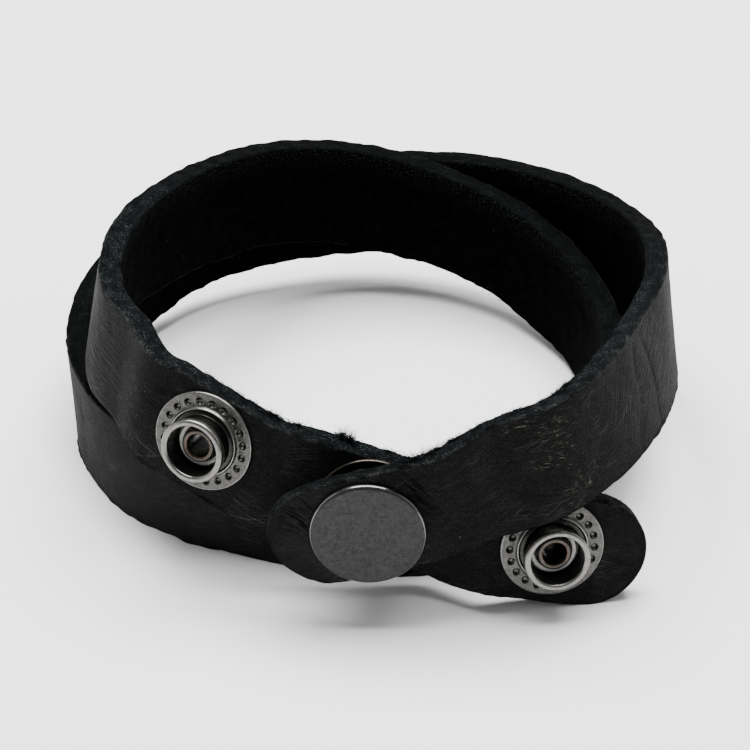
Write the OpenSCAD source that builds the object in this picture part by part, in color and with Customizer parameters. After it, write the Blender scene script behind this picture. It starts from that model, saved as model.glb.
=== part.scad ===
// Leather wrap bracelet: one strap wound twice round, closed by a flat snap, standing on its edges.
// Millimetres, +Z up. The origin is on the floor under the middle of the bracelet.
// Turn 0 is the front (-Y), and turns grow anticlockwise seen from above: 90 is the right side.

/* [Strap] */
// Width of the leather
strap_w = 12.6; // [12:0.1:12.7]
// Thickness of the leather
strap_t = 2.5; // [1.8:0.1:2.6]
// Thickness where the leather is thinned for the cap
thinned_t = 1.5; // [1.3:0.1:1.7]
// Bevel along the cut edges
edge_bevel = 0.3; // [0.1:0.05:0.4]

/* [Cap] */
// Diameter of the flat cap
cap_d = 12.5; // [11:0.1:12.6]
// Height of the cap above the leather
cap_h = 0.7; // [0.5:0.1:1]

/* [Stud] */
// Diameter of the stud's flange
flange_d = 11.3; // [10:0.1:11.6]
// Thickness of the stud's flange
flange_t = 0.5; // [0.4:0.05:0.6]
// Diameter of the neck that the socket closes on
neck_d = 6.1; // [5.9:0.1:6.2]
// Diameter of the rolled rim at the end of the stud
rim_d = 7.2; // [7:0.1:7.3]
// Height of the stud above the leather
stud_h = 3.6; // [3.5:0.1:3.7]

/* [Socket] */
// Diameter of the socket behind the cap
socket_d = 9.8; // [9.4:0.1:10.4]

/* [Hidden] */

$fn = 64;
round_fn = 96;

// The middle of the bracelet's box lies this far from the centre that the turns are counted from
shift_x = 0.5;
shift_y = 4.3;

// Columns of strap_rows, a row for each section of the strap's middle line:
// turn from the front in degrees, radius, height of the middle line above the floor,
// lean in degrees (the lower edge stands further out where it is above 0), thickness
TURN = 0;
RADIUS = 1;
HEIGHT = 2;
LEAN = 3;
THICK = 4;
strap_rows = [
    // outer turn, up over the strap's other end and round the right side
    [19, 39.5, 17.3, 9, 2.3],
    [27, 41.3, 19.6, 14, strap_t],
    [35, 40.0, 20.2, 15, strap_t],
    [46, 37.2, 20.0, 16, strap_t],
    [58, 34.6, 19.0, 16, strap_t],
    [80, 32.3, 17.3, 7, strap_t],
    [105, 31.1, 14.9, -4, strap_t],
    [135, 30.2, 13.1, -2, strap_t],
    [160, 30.5, 11.6, 0, strap_t],
    // down behind the inner turn to the floor on the left
    [180, 31.1, 10.4, 0, strap_t],
    [200, 31.3, 10.0, 0, strap_t],
    [220, 32.5, 9.4, -2, strap_t],
    [240, 32.8, 8.0, -3, strap_t],
    [255, 33.1, 6.9, -4, strap_t],
    [270, 33.1, 6.3, -4, strap_t],
    [288, 32.9, 6.2, -3, strap_t],
    [304, 32.4, 6.2, -3, strap_t],
    // inner turn along the floor behind the snap
    [320, 30.7, 6.2, -3, strap_t],
    [335, 29.4, 6.2, -2, strap_t],
    [350, 29.1, 6.2, 0, strap_t],
    [367, 29.8, 6.2, 0, strap_t],
    [385, 30.2, 6.2, 0, strap_t],
    [400, 29.9, 6.2, 0, strap_t],
    [413, 28.8, 6.2, 0, strap_t],
    [427, 27.2, 6.2, -2, strap_t],
    [445, 26.5, 6.3, -3, strap_t],
    // up the back and over the turn below it on the left
    [465, 26.1, 6.6, -4, strap_t],
    [485, 26.5, 7.6, -3, strap_t],
    [505, 27.0, 9.4, -2, strap_t],
    [525, 27.4, 11.4, 0, strap_t],
    [545, 27.7, 13.6, 0, strap_t],
    [565, 27.3, 15.5, 0, strap_t],
    [585, 26.3, 17.0, 0, strap_t],
    [603, 26.2, 18.3, 2, strap_t],
    [620, 27.6, 19.3, 5, strap_t],
    [637, 29.9, 19.7, 8, strap_t],
    [655, 32.3, 19.8, 9, strap_t],
    [668, 33.4, 20.2, 9, strap_t]
];

// The two rounded ends, in the columns above
cap_tip = [-15.6, 40.4, 9.6, 0, thinned_t];
stud_tip = [760.9, 43.9, 4.4, 7, strap_t];

// Columns of stud_rows: turn, radius, height, lean, heading that the flat faces,
// slope along the strap, and how far the stud sits above the strap's middle line
HEADING = 4;
SLOPE = 5;
RISE = 6;
stud_rows = [
    [689.0, 34.2, 17.5, 10, -27, -19, 0.5],
    [719.1, 33.2, 12.4, 0, -2, -19, 0.9],
    [748.4, 39.2, 7.4, 7, 8, -13, 0.5]
];
LEFT = 0;
MIDDLE = 1;
RIGHT = 2;

// Straight stretch of strap under each snap, and the strap's angle over the other end at the cap
flat_len = 12;
cross_angle = 36;
cap_rise = -0.6;

// Sections between two rows, and at the rounded ends
row_steps = 4;
tip_steps = 8;
tip_half_w = 0.8;

// Sheet metal of the snaps, the bevel on its edges, and the gaps between pieces
sheet_t = 0.35;
soft = 0.2;
seat_gap = 0.05;
fit_gap = 0.1;

// Stud: the collar that rises round its neck, the rolled rim with its straight side, and the boss
// in its well that the eyelet is rolled over
flange_r = flange_d / 2;
neck_r = neck_d / 2;
rim_r = rim_d / 2;
collar_w = 1;
collar_h = 0.4;
collar_run = 0.5;
rim_w = 0.75;
rim_land = 0.6;
rim_soft = 0.3;
rim_flare = 0.35;
boss_r = 2.5;

// Eyelet: its barrel through the strap, its rolled end and its flange behind the strap
barrel_r = 1.7;
bore_r = 1.25;
barrel_top = 1.9;
roll_r = 2.05;
roll_h = 0.6;
back_flange_r = 4.5;
hole_r = 1.9;

// Cap post, and the socket's grip on the stud's neck
post_reach = 0.85;
dimple_r = 1;
grip_h = 0.9;
grip_flare = 0.4;

// From the strap under the middle stud to the thinned strap over it
snap_gap = stud_h + sheet_t + seat_gap + fit_gap;

function unit(v) = v / norm(v);

function place(row) =
    [row[RADIUS] * sin(row[TURN]) + shift_x, -row[RADIUS] * cos(row[TURN]) + shift_y, row[HEIGHT]];

// Directions along the strap, up its face and out of its face
function face_frame(dir, lean) =
    let (along = unit(dir),
         level_out = unit(cross(along, [0, 0, 1])),
         level_up = cross(level_out, along))
    [along,
     level_up * cos(lean) - level_out * sin(lean),
     level_out * cos(lean) + level_up * sin(lean)];

// The flat under a stud: its middle on the strap's middle line, its directions, lean and thickness
function stud_flat(row) =
    let (dir = [cos(row[HEADING]) * cos(row[SLOPE]), sin(row[HEADING]) * cos(row[SLOPE]), sin(row[SLOPE])],
         axes = face_frame(dir, row[LEAN]))
    [place(row) - axes[1] * row[RISE], axes, row[LEAN], strap_t];

// The flat under the cap lies over the middle stud, turned about that stud's axis
function cap_flat() =
    let (under = stud_flat(stud_rows[MIDDLE]),
         along = under[1][0] * cos(cross_angle) + under[1][1] * sin(cross_angle),
         out = under[1][2],
         up = cross(out, along),
         level = face_frame(along, 0),
         lean = atan2(out * level[1], out * level[2]),
         snap_axis = place(stud_rows[MIDDLE]),
         middle = snap_axis + out * (strap_t / 2 + snap_gap + thinned_t / 2) - up * cap_rise)
    [middle, [along, up, out], lean, thinned_t];

// A path row: point, lean, thickness and, where the strap is straight, its direction
function flat_rows(flat) =
    [for (side = [-1, 1]) [flat[0] + flat[1][0] * side * flat_len / 2, flat[2], flat[3], flat[1][0]]];
function curved_row(row) = [place(row), row[LEAN], row[THICK], undef];

path = concat(
    [curved_row(cap_tip)],
    flat_rows(cap_flat()),
    [for (row = strap_rows) curved_row(row)],
    [for (row = stud_rows) each flat_rows(stud_flat(row))],
    [curved_row(stud_tip)]);
last = len(path) - 1;

// Direction of the path at a row, and the rate at which its lean changes there
function gap_after(i) = norm(path[i + 1][0] - path[i][0]);
function chord_after(i) = (path[i + 1][0] - path[i][0]) / gap_after(i);
function heading_at(i) =
    path[i][3] != undef ? path[i][3] :
    i == 0 ? unit(2 * chord_after(0) - path[1][3]) :
    i == last ? unit(2 * chord_after(last - 1) - path[last - 1][3]) :
    unit(chord_after(i - 1) * gap_after(i) + chord_after(i) * gap_after(i - 1));
function lean_rate(i) =
    path[i][3] != undef || i == 0 || i == last ? 0 :
    let (before = (path[i][1] - path[i - 1][1]) / gap_after(i - 1),
         after = (path[i + 1][1] - path[i][1]) / gap_after(i))
    (before * gap_after(i) + after * gap_after(i - 1)) / (gap_after(i - 1) + gap_after(i));

function smooth(a, b, rate_a, rate_b, t) =
    (2 * t^3 - 3 * t^2 + 1) * a + (t^3 - 2 * t^2 + t) * rate_a
    + (3 * t^2 - 2 * t^3) * b + (t^3 - t^2) * rate_b;
function smooth_slope(a, b, rate_a, rate_b, t) =
    (6 * t^2 - 6 * t) * a + (3 * t^2 - 4 * t + 1) * rate_a
    + (6 * t - 6 * t^2) * b + (3 * t^2 - 2 * t) * rate_b;

// Half the strap's width, less at its rounded ends
function half_width(from_tip) =
    let (r = strap_w / 2)
    from_tip >= r ? r : max(tip_half_w, sqrt(r^2 - (r - from_tip)^2));

// One section of the strap: middle, directions, half width and half thickness
function section(i, t) =
    let (d = gap_after(i),
         a = path[i],
         b = path[i + 1],
         rate_a = heading_at(i) * d,
         rate_b = heading_at(i + 1) * d,
         middle = smooth(a[0], b[0], rate_a, rate_b, t),
         lean = smooth(a[1], b[1], lean_rate(i) * d, lean_rate(i + 1) * d, t),
         axes = face_frame(smooth_slope(a[0], b[0], rate_a, rate_b, t), lean),
         from_tip = i <= 1 ? norm(middle - path[0][0]) :
                    i >= last - 2 ? norm(middle - path[last][0]) : strap_w)
    [middle, axes, half_width(from_tip), (a[2] * (1 - t) + b[2] * t) / 2];

// Steps crowd towards the rounded tips
sections = concat(
    [for (k = [0:tip_steps - 1]) section(0, 1 - cos(90 * k / tip_steps))],
    [for (i = [1:last - 2]) for (k = [0:row_steps - 1]) section(i, k / row_steps)],
    [for (k = [0:tip_steps]) section(last - 1, sin(90 * k / tip_steps))]);

// The eight corners of a section, where what would sink into the floor lies flat on it
function corners(s) =
    let (up = s[1][1],
         out = s[1][2],
         w = s[2],
         h = s[3],
         c = min(edge_bevel, w / 2),
         spots = [[h, w - c], [h - c, w], [c - h, w], [-h, w - c],
                  [-h, c - w], [c - h, -w], [h - c, -w], [h, c - w]])
    [for (spot = spots)
        let (p = s[0] + out * spot[0] + up * spot[1])
        [p[0], p[1], max(p[2], 0)]];

sides = 8;
ring_last = len(sections) - 1;
strap_points = [for (s = sections) each corners(s)];
strap_faces = concat(
    [for (r = [0:ring_last - 1]) for (k = [0:sides - 1])
        let (a = r * sides + k,
             b = r * sides + (k + 1) % sides)
        each [[a, b, b + sides], [a, b + sides, a + sides]]],
    [[for (k = [sides - 1:-1:0]) k]],
    [[for (k = [0:sides - 1]) ring_last * sides + k]]);

// Puts children on a flat: X along the strap, Y up its face, Z out of it, 0 at its outer face
module on_flat(flat, rise) {
    along = flat[1][0];
    up = flat[1][1];
    out = flat[1][2];
    p = flat[0] + up * rise + out * flat[3] / 2;
    multmatrix([[along[0], up[0], out[0], p[0]],
                [along[1], up[1], out[1], p[1]],
                [along[2], up[2], out[2], p[2]],
                [0, 0, 0, 1]]) children();
}

module on_stud_flat(index) on_flat(stud_flat(stud_rows[index]), stud_rows[index][RISE]) children();
module on_cap_flat() on_flat(cap_flat(), cap_rise) children();

module post_hole(thickness)
    translate([0, 0, -thickness - soft])
        cylinder(h = thickness + 2 * soft, r = hole_r);

module strap() color("#1c1c1e") difference() {
    polyhedron(strap_points, strap_faces);
    on_cap_flat() post_hole(thinned_t);
    for (index = [LEFT, MIDDLE, RIGHT]) on_stud_flat(index) post_hole(strap_t);
}

// Flange, collar, neck and rolled rim of a stud, turned from one profile
module stud() rotate_extrude($fn = round_fn) {
    inside = barrel_r + fit_gap;
    land_top = stud_h - rim_soft;
    land_foot = land_top - rim_land;
    collar_top = flange_t + collar_h;
    boss_top = barrel_top - roll_h - fit_gap;
    polygon([
        [inside, seat_gap],
        [flange_r - soft, seat_gap],
        [flange_r, soft],
        [flange_r, flange_t - soft],
        [flange_r - soft, flange_t],
        [neck_r + collar_w, flange_t],
        [neck_r + collar_w - soft, collar_top],
        [neck_r + soft, collar_top],
        [neck_r, collar_top + collar_run],
        [neck_r, land_foot - rim_flare],
        [rim_r, land_foot],
        [rim_r, land_top],
        [rim_r - rim_soft, stud_h],
        [rim_r - rim_w + rim_soft, stud_h],
        [rim_r - rim_w, land_top],
        [rim_r - rim_w, flange_t],
        [boss_r, flange_t],
        [boss_r, boss_top - soft],
        [boss_r - soft, boss_top],
        [inside, boss_top]
    ]);
}

// Back flange, barrel through the strap and rolled end inside the stud
module eyelet() rotate_extrude($fn = round_fn) {
    back = -strap_t - seat_gap;
    roll_foot = barrel_top - roll_h;
    polygon([
        [bore_r, back - sheet_t],
        [back_flange_r - soft, back - sheet_t],
        [back_flange_r, back - sheet_t / 2],
        [back_flange_r - soft, back],
        [barrel_r, back],
        [barrel_r, roll_foot],
        [roll_r, roll_foot + soft],
        [roll_r, barrel_top - soft],
        [roll_r - soft, barrel_top],
        [bore_r + soft, barrel_top],
        [bore_r, barrel_top - soft]
    ]);
}

// Flat cap with its post, whose rolled end holds the socket
module snap_cap() color("#55565a") on_cap_flat() rotate_extrude($fn = round_fn) {
    cap_r = cap_d / 2;
    back = -thinned_t - seat_gap;
    roll_top = back - sheet_t - seat_gap;
    face = seat_gap + cap_h;
    polygon([
        [0, back],
        [dimple_r, back - post_reach],
        [roll_r - soft, back - post_reach],
        [roll_r, roll_top - soft],
        [roll_r, roll_top],
        [barrel_r, roll_top],
        [barrel_r, seat_gap],
        [cap_r - soft, seat_gap],
        [cap_r, seat_gap + soft],
        [cap_r, face - soft],
        [cap_r - soft, face],
        [0, face]
    ]);
}

// Ring that closes round the middle stud's neck, with its back against the thinned strap
module snap_socket() color("#4a4b4f") on_cap_flat() rotate_extrude($fn = round_fn) {
    socket_r = socket_d / 2;
    inside = barrel_r + fit_gap;
    back = -thinned_t - seat_gap;
    mouth = -thinned_t - snap_gap + flange_t + collar_h + 2 * fit_gap;
    cavity_r = rim_r + fit_gap;
    mouth_r = neck_r + 2 * fit_gap;
    polygon([
        [inside, back],
        [socket_r - rim_soft, back],
        [socket_r, back - rim_soft],
        [socket_r - soft, mouth + soft],
        [socket_r - 2 * soft, mouth],
        [mouth_r + soft, mouth],
        [mouth_r, mouth + soft],
        [mouth_r, mouth + grip_h],
        [cavity_r, mouth + grip_h + grip_flare],
        [cavity_r, back - sheet_t],
        [inside, back - sheet_t]
    ]);
}

module stud_left() color("#8e9093") on_stud_flat(LEFT) stud();
module stud_middle() color("#8e9093") on_stud_flat(MIDDLE) stud();
module stud_right() color("#8e9093") on_stud_flat(RIGHT) stud();
module eyelet_left() color("#6f6a66") on_stud_flat(LEFT) eyelet();
module eyelet_middle() color("#6f6a66") on_stud_flat(MIDDLE) eyelet();
module eyelet_right() color("#6f6a66") on_stud_flat(RIGHT) eyelet();

strap();
snap_cap();
snap_socket();
stud_left();
stud_middle();
stud_right();
eyelet_left();
eyelet_middle();
eyelet_right();
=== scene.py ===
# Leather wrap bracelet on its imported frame: a grained strap with cut fibrous edges,
# dimpled studs, rolled eyelets and a satin cap.

from math import cos, pi, radians, sin

import bpy
import numpy as np
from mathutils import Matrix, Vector


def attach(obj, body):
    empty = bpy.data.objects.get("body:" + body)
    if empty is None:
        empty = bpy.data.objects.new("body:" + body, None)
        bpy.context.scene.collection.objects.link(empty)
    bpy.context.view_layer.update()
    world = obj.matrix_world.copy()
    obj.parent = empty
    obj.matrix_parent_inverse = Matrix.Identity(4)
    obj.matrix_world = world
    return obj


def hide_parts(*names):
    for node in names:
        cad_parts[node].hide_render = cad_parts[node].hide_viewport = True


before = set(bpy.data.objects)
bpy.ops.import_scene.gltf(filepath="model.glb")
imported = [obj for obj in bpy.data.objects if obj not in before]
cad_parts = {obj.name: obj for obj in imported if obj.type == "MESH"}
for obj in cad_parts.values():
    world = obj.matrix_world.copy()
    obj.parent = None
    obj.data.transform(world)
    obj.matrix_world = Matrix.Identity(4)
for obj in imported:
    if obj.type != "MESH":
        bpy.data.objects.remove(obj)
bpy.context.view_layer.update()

# Sizes are in millimetres and angles in degrees, as in the part's source; MM turns them into metres
MM = 0.001

# Strap
STRAP_W = 12.6
STRAP_T = 2.5
THINNED_T = 1.5
FLAT_LEN = 12
CROSS_ANGLE = 36
CAP_RISE = -0.6
SHIFT_X = 0.5
SHIFT_Y = 4.3
PATH_STEPS = 40

# Turn from the front, radius, height, lean and thickness of each section of the strap
STRAP_ROWS = (
    (19, 39.5, 17.3, 9, 2.3),
    (27, 41.3, 19.6, 14, STRAP_T),
    (35, 40.0, 20.2, 15, STRAP_T),
    (46, 37.2, 20.0, 16, STRAP_T),
    (58, 34.6, 19.0, 16, STRAP_T),
    (80, 32.3, 17.3, 7, STRAP_T),
    (105, 31.1, 14.9, -4, STRAP_T),
    (135, 30.2, 13.1, -2, STRAP_T),
    (160, 30.5, 11.6, 0, STRAP_T),
    (180, 31.1, 10.4, 0, STRAP_T),
    (200, 31.3, 10.0, 0, STRAP_T),
    (220, 32.5, 9.4, -2, STRAP_T),
    (240, 32.8, 8.0, -3, STRAP_T),
    (255, 33.1, 6.9, -4, STRAP_T),
    (270, 33.1, 6.3, -4, STRAP_T),
    (288, 32.9, 6.2, -3, STRAP_T),
    (304, 32.4, 6.2, -3, STRAP_T),
    (320, 30.7, 6.2, -3, STRAP_T),
    (335, 29.4, 6.2, -2, STRAP_T),
    (350, 29.1, 6.2, 0, STRAP_T),
    (367, 29.8, 6.2, 0, STRAP_T),
    (385, 30.2, 6.2, 0, STRAP_T),
    (400, 29.9, 6.2, 0, STRAP_T),
    (413, 28.8, 6.2, 0, STRAP_T),
    (427, 27.2, 6.2, -2, STRAP_T),
    (445, 26.5, 6.3, -3, STRAP_T),
    (465, 26.1, 6.6, -4, STRAP_T),
    (485, 26.5, 7.6, -3, STRAP_T),
    (505, 27.0, 9.4, -2, STRAP_T),
    (525, 27.4, 11.4, 0, STRAP_T),
    (545, 27.7, 13.6, 0, STRAP_T),
    (565, 27.3, 15.5, 0, STRAP_T),
    (585, 26.3, 17.0, 0, STRAP_T),
    (603, 26.2, 18.3, 2, STRAP_T),
    (620, 27.6, 19.3, 5, STRAP_T),
    (637, 29.9, 19.7, 8, STRAP_T),
    (655, 32.3, 19.8, 9, STRAP_T),
    (668, 33.4, 20.2, 9, STRAP_T),
)
CAP_TIP = (-15.6, 40.4, 9.6, 0, THINNED_T)
STUD_TIP = (760.9, 43.9, 4.4, 7, STRAP_T)

# Turn, radius, height, lean, heading, slope along the strap and rise above its middle line of each stud
STUD_ROWS = {
    "left": (689.0, 34.2, 17.5, 10, -27, -19, 0.5),
    "middle": (719.1, 33.2, 12.4, 0, -2, -19, 0.9),
    "right": (748.4, 39.2, 7.4, 7, 8, -13, 0.5),
}

# Snaps
SHEET_T = 0.35
SEAT_GAP = 0.05
FIT_GAP = 0.1
FLANGE_R = 5.65
FLANGE_T = 0.5
COLLAR_W = 1.0
COLLAR_H = 0.4
NECK_R = 3.05
RIM_R = 3.6
STUD_H = 3.6
BARREL_R = 1.7
BORE_R = 1.25
BARREL_TOP = 1.9
HOLE_R = 1.9
ROLL_R = 2.05
ROLL_H = 0.6
BOSS_R = 2.5
BOSS_TOP = BARREL_TOP - ROLL_H - FIT_GAP
RIM_W = 0.75
BACK_FLANGE_R = 4.5
CAP_R = 6.25
CAP_H = 0.7
SOCKET_R = 4.9
SNAP_GAP = STUD_H + SHEET_T + SEAT_GAP + FIT_GAP


# The strap's path

def unit(v):
    """The direction of a vector, or of each in a list."""
    return v / np.linalg.norm(v, axis=-1, keepdims=True)


def place(turn, radius, height):
    """The point at this turn from the front, radius and height."""
    a = radians(turn)
    return np.array([radius * sin(a) + SHIFT_X, -radius * cos(a) + SHIFT_Y, height])


def face_axes(direction, lean):
    """Directions along the strap, up its face and out of its face."""
    along = unit(direction)
    level_out = unit(np.cross(along, (0, 0, 1)))
    level_up = np.cross(level_out, along)
    c = np.cos(np.radians(lean))[..., None]
    s = np.sin(np.radians(lean))[..., None]
    return along, level_up * c - level_out * s, level_out * c + level_up * s


class Flat:
    """A straight stretch of strap that carries a snap."""

    def __init__(self, snap, axes, lean, thick, rise):
        self.along, self.up, self.out = axes
        self.lean = lean
        self.thick = thick
        self.rise = rise
        self.middle = snap - self.up * rise

    def point(self, x, y, z):
        """A point x along, y up and z out from the snap's middle on the outer face, in metres."""
        base = self.middle + self.up * self.rise + self.out * self.thick / 2
        return (base + self.along * x + self.up * y + self.out * z) * MM


def stud_flat(row):
    """The flat that carries a stud."""
    turn, radius, height, lean, heading, slope, rise = row
    h = radians(heading)
    s = radians(slope)
    direction = np.array([cos(h) * cos(s), sin(h) * cos(s), sin(s)])
    return Flat(place(turn, radius, height), face_axes(direction, lean), lean, STRAP_T, rise)


def cap_flat(under):
    """The flat that carries the cap, over the middle stud's."""
    along = under.along * cos(radians(CROSS_ANGLE)) + under.up * sin(radians(CROSS_ANGLE))
    up = np.cross(under.out, along)
    level = face_axes(along, 0)
    lean = np.degrees(np.arctan2(under.out @ level[1], under.out @ level[2]))
    snap = under.middle + under.up * under.rise
    middle = snap + under.out * (STRAP_T / 2 + SNAP_GAP + THINNED_T / 2)
    return Flat(middle, (along, up, under.out), lean, THINNED_T, CAP_RISE)


def path_rows(flats):
    """Point, lean, thickness and, on a flat, the direction of each row of the path."""
    def curved(turn, radius, height, lean, thick):
        return place(turn, radius, height), lean, thick, None

    def straight(flat):
        for side in (-1, 1):
            point = flat.middle + flat.along * side * FLAT_LEN / 2
            yield point, flat.lean, flat.thick, flat.along

    rows = [curved(*CAP_TIP)]
    rows += straight(flats["cap"])
    rows += [curved(*row) for row in STRAP_ROWS]
    for name in STUD_ROWS:
        rows += straight(flats[name])
    rows.append(curved(*STUD_TIP))
    return rows


def dense_path(rows):
    """Points, directions, leans and thicknesses along the smooth path through the rows."""
    points = np.array([r[0] for r in rows])
    leans = np.array([r[1] for r in rows], float)
    thicks = np.array([r[2] for r in rows], float)
    gaps = np.linalg.norm(np.diff(points, axis=0), axis=1)
    chords = np.diff(points, axis=0) / gaps[:, None]
    last = len(rows) - 1

    def heading(i):
        if rows[i][3] is not None:
            return rows[i][3]
        if i == 0:
            return unit(2 * chords[0] - rows[1][3])
        if i == last:
            return unit(2 * chords[-1] - rows[-2][3])
        return unit(chords[i - 1] * gaps[i] + chords[i] * gaps[i - 1])

    def lean_rate(i):
        if rows[i][3] is not None or i in (0, last):
            return 0.0
        before = (leans[i] - leans[i - 1]) / gaps[i - 1]
        after = (leans[i + 1] - leans[i]) / gaps[i]
        return (before * gaps[i] + after * gaps[i - 1]) / (gaps[i - 1] + gaps[i])

    t = np.linspace(0, 1, PATH_STEPS, endpoint=False)[:, None]
    curve = (2 * t**3 - 3 * t**2 + 1, t**3 - 2 * t**2 + t, 3 * t**2 - 2 * t**3, t**3 - t**2)
    slope = (6 * t**2 - 6 * t, 3 * t**2 - 4 * t + 1, 6 * t - 6 * t**2, 3 * t**2 - 2 * t)
    found = []
    for i in range(last):
        ends = (points[i], heading(i) * gaps[i], points[i + 1], heading(i + 1) * gaps[i])
        lean_ends = (leans[i], lean_rate(i) * gaps[i], leans[i + 1], lean_rate(i + 1) * gaps[i])
        found.append(np.hstack([
            sum(c * e for c, e in zip(curve, ends)),
            unit(sum(c * e for c, e in zip(slope, ends))),
            sum(c * e for c, e in zip(curve, lean_ends)),
            thicks[i] * (1 - t) + thicks[i + 1] * t,
        ]))
    end = np.hstack([points[-1], heading(last), leans[-1], thicks[-1]])
    return np.vstack(found + [end])


# Smooth noise on a plane, the same on each run

def lattice(ix, iy, seed):
    """A number from -1 to 1 for each grid point."""
    h = (ix * 374761393 + iy * 668265263 + seed * 974634777) & 0xFFFFFFFF
    h = ((h ^ (h >> 13)) * 1274126177) & 0xFFFFFFFF
    return ((h ^ (h >> 16)) & 0xFFFF) / 32767.5 - 1


def noise(x, y, seed):
    """Grid points' numbers, smoothed in between."""
    x, y = np.broadcast_arrays(x, y)
    ix = np.floor(x).astype(np.int64)
    iy = np.floor(y).astype(np.int64)
    fx = x - ix
    fy = y - iy
    u = fx * fx * (3 - 2 * fx)
    v = fy * fy * (3 - 2 * fy)
    low = lattice(ix, iy, seed) * (1 - u) + lattice(ix + 1, iy, seed) * u
    high = lattice(ix, iy + 1, seed) * (1 - u) + lattice(ix + 1, iy + 1, seed) * u
    return low * (1 - v) + high * v


def ridge(x, y, seed):
    """Sharp lines of 1 on a ground of 0."""
    return np.clip(1 - 3.2 * np.abs(noise(x, y, seed)), 0, 1)


def ramp(low, high, x):
    """A smooth step from 0 to 1."""
    t = np.clip((x - low) / (high - low), 0, 1)
    return t * t * (3 - 2 * t)


# Materials

# Patches of the outer face: the middle and the half sizes, in centimetres along and across the strap.
# Glint-hatched and wrinkled ones end with the angle of their lines.
# The glint-hatched patches: pale dashes whose colour is a painted glint
GLINT_SPOTS = (
    (3.28, 0.24, 0.32, 0.24, 4),
    (3.2, 0.55, 0.34, 0.26, 34),
    (3.48, 0.88, 0.28, 0.26, -42),
    (3.26, 1.06, 0.32, 0.18, 6),
    (3.0, 0.07, 0.36, 0.08, 12),
)
# The wrinkled patches: their wrinkles bump the face and carry a painted highlight
WRINKLED_SPOTS = (
    (5.4, 0.6, 1.2, 0.8, -16),
    (4.4, 0.5, 0.5, 0.6, -58),
    (36.8, 0.7, 1.1, 0.7, 0),
)
# The creased patches round the cap: their creases bump the face and carry painted shade
CREASED_SPOTS = ((1.55, 0.34, 0.5, 0.45), (0.42, 0.25, 0.3, 0.4))
# Patches darkened with painted shade
SHADED_SPOTS = ((5.6, 0.6, 1.5, 1.3), (36.9, 0.8, 0.8, 1.0))
# Patches where the face is lighter
LIGHTER_SPOTS = ((0.7, 0.6, 0.9, 1.0), (19.0, 0.9, 2.2, 1.1))

# Stretches of the cut edge, at the right, the back and the left, that are darker than the front
DARK_EDGES = ((14.0, 2.8, 8.5, 9.0), (28.0, 2.8, 7.5, 9.0))

# Bands round the strap's section, in centimetres from the top of its outer face: the bevels beside the
# outer face, which carry a painted highlight, where the painted shade on the bottom edge ends, and the
# speckled nap on the back below the top edge
TOP_BEVEL = (2.925, 2.958)
LOW_BEVEL = (1.25, 1.21)
LOW_EDGE = (1.49, 1.6)
TOP_NAP = (2.4, 2.7)

# Colours of the leather, in linear light
GRAIN_LOW = (0.0078, 0.0078, 0.0075)
GRAIN_HIGH = (0.0158, 0.0157, 0.0151)
GRAIN_LINE = (0.0055, 0.0055, 0.0055)
# Painted shade for the shaded patches
GRAIN_SHADE = (0.004, 0.004, 0.004)
GRAIN_LIGHTER = (0.026, 0.026, 0.025)
# Painted highlight on the wrinkles' crests
WRINKLE_HIGHLIGHT = (0.03, 0.03, 0.028)
# Painted glints along fine lines of the face
GLINT_LINE = (0.05, 0.05, 0.048)
# Painted glints of the hatching
HATCH_GLINT = (0.12, 0.112, 0.088)
# Painted shade in the creases
CREASE_SHADE = (0.0003, 0.0003, 0.0003)
SPECK = (0.1, 0.1, 0.09)
EDGE_LOW = (0.0002, 0.0003, 0.0004)
EDGE_HIGH = (0.0048, 0.0064, 0.0073)
# Painted shade on the bottom edge
EDGE_BOTTOM_SHADE = (0.0001, 0.0001, 0.0001)
EDGE_DARK = (0.0004, 0.0005, 0.0006)
# Painted highlight along the bevels beside the outer face
BEVEL_HIGHLIGHT = (0.04, 0.041, 0.038)
BLUE_FLECK = (0.05, 0.072, 0.082)
GREY_FLECK = (0.08, 0.095, 0.092)
FIBRE_LOW = (0.001, 0.0012, 0.0014)
FIBRE_HIGH = (0.04, 0.048, 0.052)
SUEDE_LOW = (0.0004, 0.0004, 0.0005)
SUEDE_HIGH = (0.0018, 0.0019, 0.002)
NAP_SPECK = (0.03, 0.036, 0.039)
LINT = (0.1, 0.1, 0.1)

# Dust in the dimples and on the necks of the studs, and down the eyelets
PALE_DUST = (0.3, 0.3, 0.28)


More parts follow.
